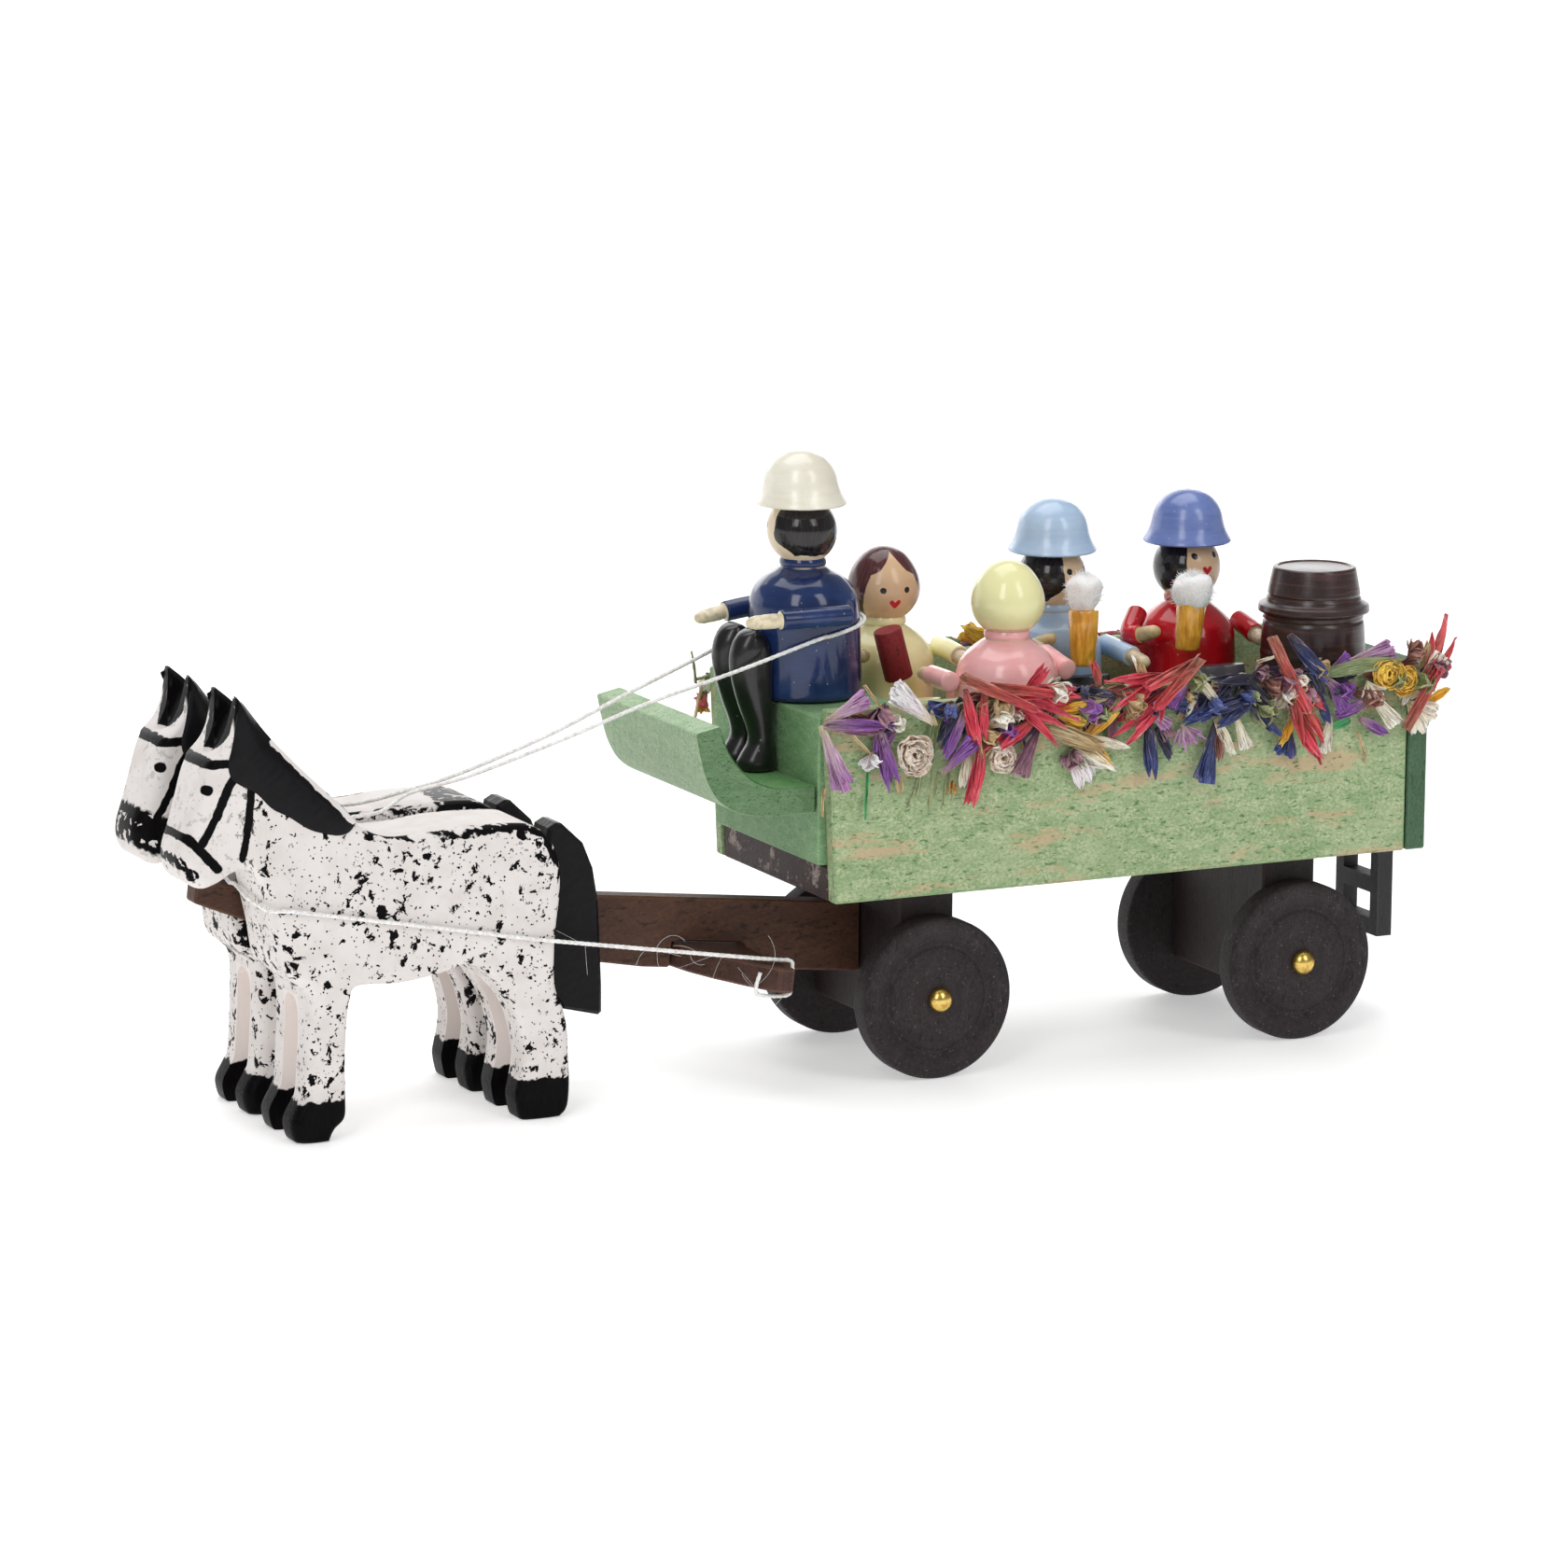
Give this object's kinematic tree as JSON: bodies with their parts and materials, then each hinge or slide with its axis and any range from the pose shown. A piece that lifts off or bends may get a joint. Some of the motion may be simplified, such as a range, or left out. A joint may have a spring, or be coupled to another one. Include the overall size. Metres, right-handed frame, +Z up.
{
  "type": "miniature horse-drawn wagon",
  "caption": "Miniature wooden farm wagon with rolling wheels, steering front axle, a team of horses, turned figures, a barrel and dried-flower garlands.",
  "frame": {"origin": "under the middle of the overall length, on the ground the wheels and hooves stand on", "axes": "+X from the team to the tail board, +Y to the wagon's right as it drives off, +Z up"},
  "size_m": [0.1164, 0.0276, 0.0534],
  "materials": {
    "side_stain": "thin light green stain, satin",
    "tail_stain": "dark green stain, satin",
    "seat_stain": "green stain, matt",
    "floor_stain": "dark brown stain, matt",
    "axle_stain": "black-brown stain, matt",
    "wheel_stain": "charcoal stain, matt",
    "pole_stain": "reddish brown stain, satin",
    "brass": "polished",
    "ladder_paint": "black stain, satin",
    "horse_paint": "white paint flecked with black",
    "tail_paint": "black paint, satin",
    "navy_lacquer": "gloss lacquer",
    "cream_lacquer": "gloss lacquer",
    "black_lacquer": "gloss lacquer",
    "yellow_lacquer": "gloss lacquer",
    "pink_lacquer": "gloss lacquer",
    "light_blue_lacquer": "gloss lacquer",
    "red_lacquer": "gloss lacquer",
    "blue_hat_lacquer": "gloss lacquer",
    "cup_stain": "dark red stain, satin",
    "beer_paint": "amber stain under a white dipped top",
    "barrel_stain": "dark brown stain, satin",
    "dried_flowers": "dry petals, matt",
    "cotton_thread": "twisted cotton, matt"
  },
  "bodies": {
    "wagon": {"barrel": "barrel_stain", "bench_left": "seat_stain", "bench_right": "seat_stain", "blonde_arm_left": "pink_lacquer", "blonde_arm_right": "pink_lacquer", "blonde_figure": "pink_lacquer", "blonde_legs": "pink_lacquer", "blue_man_arm_left": "light_blue_lacquer", "blue_man_arm_right": "light_blue_lacquer", "blue_man_beer": "beer_paint", "blue_man_figure": "light_blue_lacquer", "blue_man_hat": "light_blue_lacquer", "blue_man_legs": "black_lacquer", "cup": "cup_stain", "driver_arm_left": "navy_lacquer", "driver_arm_right": "navy_lacquer", "driver_figure": "navy_lacquer", "driver_hat": "cream_lacquer", "driver_leg_left": "black_lacquer", "driver_leg_right": "black_lacquer", "floor_board": "floor_stain", "foot_board": "seat_stain", "garland_left": "dried_flowers", "garland_right": "dried_flowers", "kingpin": "brass", "ladder": "ladder_paint", "nail_rear_left": "brass", "nail_rear_right": "brass", "rear_axle_block": "axle_stain", "red_man_arm_left": "red_lacquer", "red_man_arm_right": "red_lacquer", "red_man_beer": "beer_paint", "red_man_figure": "red_lacquer", "red_man_hat": "blue_hat_lacquer", "red_man_legs": "black_lacquer", "reins": "cotton_thread", "seat_block": "seat_stain", "side_board_left": "side_stain", "side_board_right": "side_stain", "tail_board": "tail_stain", "woman_arm_left": "yellow_lacquer", "woman_arm_right": "yellow_lacquer", "woman_figure": "yellow_lacquer", "woman_legs": "yellow_lacquer"},
    "front_gear": {"front_axle_block": "axle_stain", "draw_pole": "pole_stain", "crossbar": "pole_stain", "horse_left": "horse_paint", "horse_right": "horse_paint", "tail_left": "tail_paint", "tail_right": "tail_paint", "nail_front_left": "brass", "nail_front_right": "brass", "traces": "cotton_thread"},
    "wheel_front_left": {"wheel_front_left": "wheel_stain"},
    "wheel_front_right": {"wheel_front_right": "wheel_stain"},
    "wheel_rear_left": {"wheel_rear_left": "wheel_stain"},
    "wheel_rear_right": {"wheel_rear_right": "wheel_stain"}
  },
  "joints": [
    {"name": "front_axle_steering", "type": "hinge", "parent": "wagon", "child": "front_gear", "pos_m": [0.00934, 0, 0.007], "axis": [0, 0, 1], "range_deg": [-20, 20], "deforming": ["reins"]},
    {"name": "wheel_front_left_roll", "type": "hinge", "parent": "front_gear", "child": "wheel_front_left", "pos_m": [0.00934, -0.0082, 0.007], "axis": [0, 1, 0], "continuous": true},
    {"name": "wheel_front_right_roll", "type": "hinge", "parent": "front_gear", "child": "wheel_front_right", "pos_m": [0.00934, 0.0082, 0.007], "axis": [0, 1, 0], "continuous": true},
    {"name": "wheel_rear_left_roll", "type": "hinge", "parent": "wagon", "child": "wheel_rear_left", "pos_m": [0.04499, -0.0082, 0.007], "axis": [0, 1, 0], "continuous": true},
    {"name": "wheel_rear_right_roll", "type": "hinge", "parent": "wagon", "child": "wheel_rear_right", "pos_m": [0.04499, 0.0082, 0.007], "axis": [0, 1, 0], "continuous": true}
  ]
}
